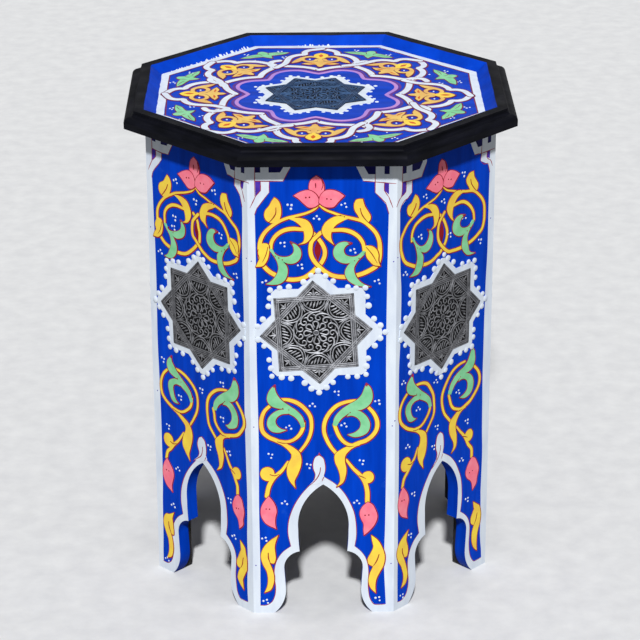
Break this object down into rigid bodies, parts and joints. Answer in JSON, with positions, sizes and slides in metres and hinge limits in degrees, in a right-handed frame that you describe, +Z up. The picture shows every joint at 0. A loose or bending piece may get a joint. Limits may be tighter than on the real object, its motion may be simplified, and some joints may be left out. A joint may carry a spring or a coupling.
{
  "type": "octagonal side table",
  "caption": "Octagonal painted wooden side table with mitred arched side panels, a moulded black rim and pressed metal stars on the sides and top.",
  "frame": {"origin": "middle of the octagonal footprint, on the floor", "axes": "+Z up through the top board; the front side panel faces -Y; +X is to the right of someone facing the front"},
  "size_m": [0.395, 0.395, 0.52],
  "materials": {
    "painted_wood": "deep blue gloss paint with hand-painted ornament",
    "black_painted_wood": "black satin paint, worn along the edges",
    "bare_wood": "sawn softwood, stained dark inside",
    "pressed_metal": "pressed white metal, darkened in the recesses",
    "pin_steel": "plain steel"
  },
  "bodies": {
    "root": {"side_panel_front": "painted_wood", "corner_block_1": "bare_wood", "top_cleat_front": "bare_wood", "rim_moulding_front": "black_painted_wood", "star_plate_front": "pressed_metal", "side_panel_front_right": "painted_wood", "corner_block_2": "bare_wood", "top_cleat_front_right": "bare_wood", "rim_moulding_front_right": "black_painted_wood", "star_plate_front_right": "pressed_metal", "side_panel_right": "painted_wood", "corner_block_3": "bare_wood", "top_cleat_right": "bare_wood", "rim_moulding_right": "black_painted_wood", "star_plate_right": "pressed_metal", "side_panel_rear_right": "painted_wood", "corner_block_4": "bare_wood", "top_cleat_rear_right": "bare_wood", "rim_moulding_rear_right": "black_painted_wood", "star_plate_rear_right": "pressed_metal", "side_panel_rear": "painted_wood", "corner_block_5": "bare_wood", "top_cleat_rear": "bare_wood", "rim_moulding_rear": "black_painted_wood", "star_plate_rear": "pressed_metal", "side_panel_rear_left": "painted_wood", "corner_block_6": "bare_wood", "top_cleat_rear_left": "bare_wood", "rim_moulding_rear_left": "black_painted_wood", "star_plate_rear_left": "pressed_metal", "side_panel_left": "painted_wood", "corner_block_7": "bare_wood", "top_cleat_left": "bare_wood", "rim_moulding_left": "black_painted_wood", "star_plate_left": "pressed_metal", "side_panel_front_left": "painted_wood", "corner_block_8": "bare_wood", "top_cleat_front_left": "bare_wood", "rim_moulding_front_left": "black_painted_wood", "star_plate_front_left": "pressed_metal", "top_board": "painted_wood", "star_plate_top": "pressed_metal", "side_star_pins": "pin_steel", "top_star_pins": "pin_steel", "mitre_brads": "pin_steel", "rim_brads": "pin_steel", "cleat_screws": "pin_steel"}
  },
  "joints": []
}
